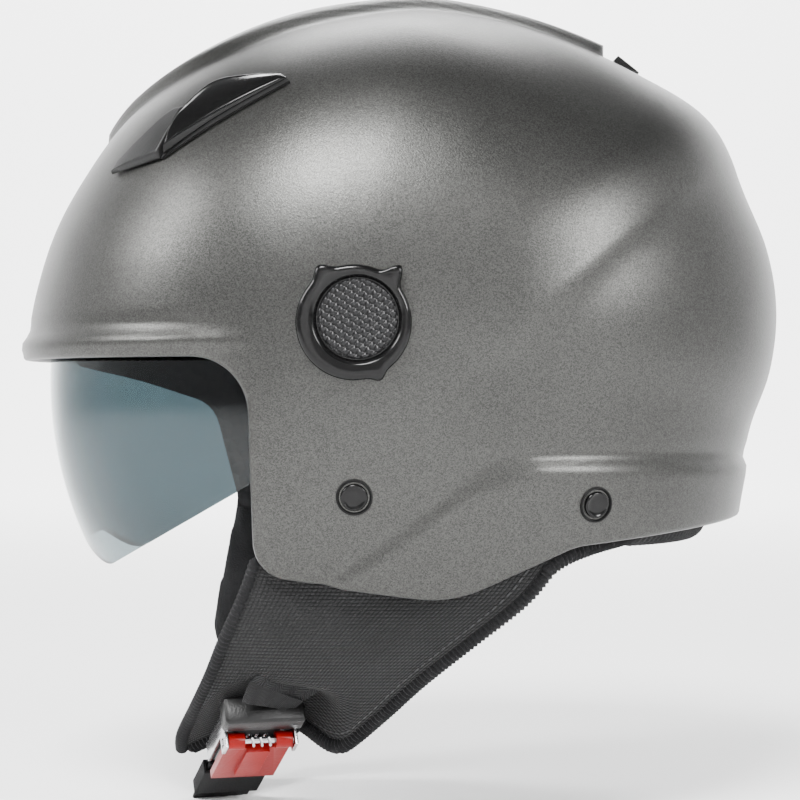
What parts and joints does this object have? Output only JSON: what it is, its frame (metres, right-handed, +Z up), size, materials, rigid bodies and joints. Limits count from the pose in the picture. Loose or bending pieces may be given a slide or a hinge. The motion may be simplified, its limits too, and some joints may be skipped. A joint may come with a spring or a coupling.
{
  "type": "motorcycle helmet",
  "caption": "Open-face scooter helmet with a geared drop-down sun visor, side knobs, front air intakes, riveted chin strap and micrometric buckle.",
  "frame": {"origin": "on the axis of the two side knobs, in the helmet's mid-plane, where the wearer's head sits", "axes": "+Z up, -X to the front, -Y to the wearer's left"},
  "size_m": [0.2822, 0.251, 0.2994],
  "materials": {
    "shell_paint": "matte metallic gunmetal",
    "foam": "moulded bead foam",
    "gloss_black": "gloss",
    "satin_black": "satin",
    "smoke_visor": "smoke tint",
    "lining": "brushed lining",
    "flap_fabric": "basket weave",
    "ribbed_fabric": "ribbed knit",
    "webbing": "woven webbing",
    "steel": "bright",
    "lever_red": "gloss",
    "nylon": "moulded nylon"
  },
  "bodies": {
    "helmet": {"outer_shell": "shell_paint", "eps_liner": "foam", "crown_pad": "lining", "neck_roll": "ribbed_fabric", "rear_exhaust": "satin_black", "comfort_sleeve": "lining", "buckle_channel": "steel", "buckle_cover": "satin_black", "lever_pin": "steel", "lever_spring": "steel", "cheek_pad_left": "lining", "side_flap_left": "flap_fabric", "visor_base_left": "satin_black", "hinge_screw_left": "steel", "vent_base_left": "satin_black", "vent_blade_left": "gloss_black", "strap_front_left": "webbing", "strap_rear_left": "webbing", "rivet_front_left": "gloss_black", "anchor_plate_front_left": "steel", "rivet_rear_left": "gloss_black", "anchor_plate_rear_left": "steel", "cheek_pad_right": "lining", "side_flap_right": "flap_fabric", "visor_base_right": "satin_black", "hinge_screw_right": "steel", "vent_base_right": "satin_black", "vent_blade_right": "gloss_black", "strap_front_right": "webbing", "strap_rear_right": "webbing", "rivet_front_right": "gloss_black", "anchor_plate_front_right": "steel", "rivet_rear_right": "gloss_black", "anchor_plate_rear_right": "steel"},
    "visor": {"sun_visor": "smoke_visor", "visor_gear_left": "nylon", "visor_gear_right": "nylon"},
    "knob_left_body": {"knob_left": "gloss_black", "knob_insert_left": "satin_black", "knob_screw_left": "steel", "knob_shaft_left": "nylon"},
    "knob_right_body": {"knob_right": "gloss_black", "knob_insert_right": "satin_black", "knob_screw_right": "steel", "knob_shaft_right": "nylon"},
    "intake_left": {"vent_slider_left": "satin_black"},
    "intake_right": {"vent_slider_right": "satin_black"},
    "lever": {"buckle_lever": "lever_red", "buckle_pawl": "steel"},
    "tongue": {"ratchet_tongue": "nylon", "strap_tail": "webbing"}
  },
  "joints": [
    {"name": "visor_raise", "type": "hinge", "parent": "helmet", "child": "visor", "pos_m": [0.02677, 0, -0.01799], "axis": [0, 1, 0], "range_deg": [0, 33]},
    {"name": "knob_turn_left", "type": "hinge", "parent": "helmet", "child": "knob_left_body", "pos_m": [0, -0.118, 0], "axis": [0, 1, 0], "range_deg": [-76.5, 0]},
    {"name": "knob_turn_right", "type": "hinge", "parent": "helmet", "child": "knob_right_body", "pos_m": [0, 0.118, 0], "axis": [0, 1, 0], "range_deg": [-76.5, 0]},
    {"name": "intake_slide_left", "type": "slide", "parent": "helmet", "child": "intake_left", "axis": [-0.7789, 0.4776, -0.4064], "range_m": [0, 0.004]},
    {"name": "intake_slide_right", "type": "slide", "parent": "helmet", "child": "intake_right", "axis": [-0.7789, -0.4776, -0.4064], "range_m": [0, 0.004]},
    {"name": "lever_release", "type": "hinge", "parent": "helmet", "child": "lever", "pos_m": [-0.03457, -0.06159, -0.14587], "axis": [-0.9563, -0.2924, 0], "range_deg": [0, 38], "stiffness_Nm_per_rad": 0.03, "springref_deg": -5.73},
    {"name": "tongue_slide", "type": "slide", "parent": "helmet", "child": "tongue", "axis": [-0.2532, 0.8282, -0.5], "range_m": [0, 0.0088]}
  ],
  "couplings": [
    {"joint": "knob_turn_left", "follows": "visor_raise", "ratio": -2.3077},
    {"joint": "knob_turn_right", "follows": "visor_raise", "ratio": -2.3077}
  ]
}
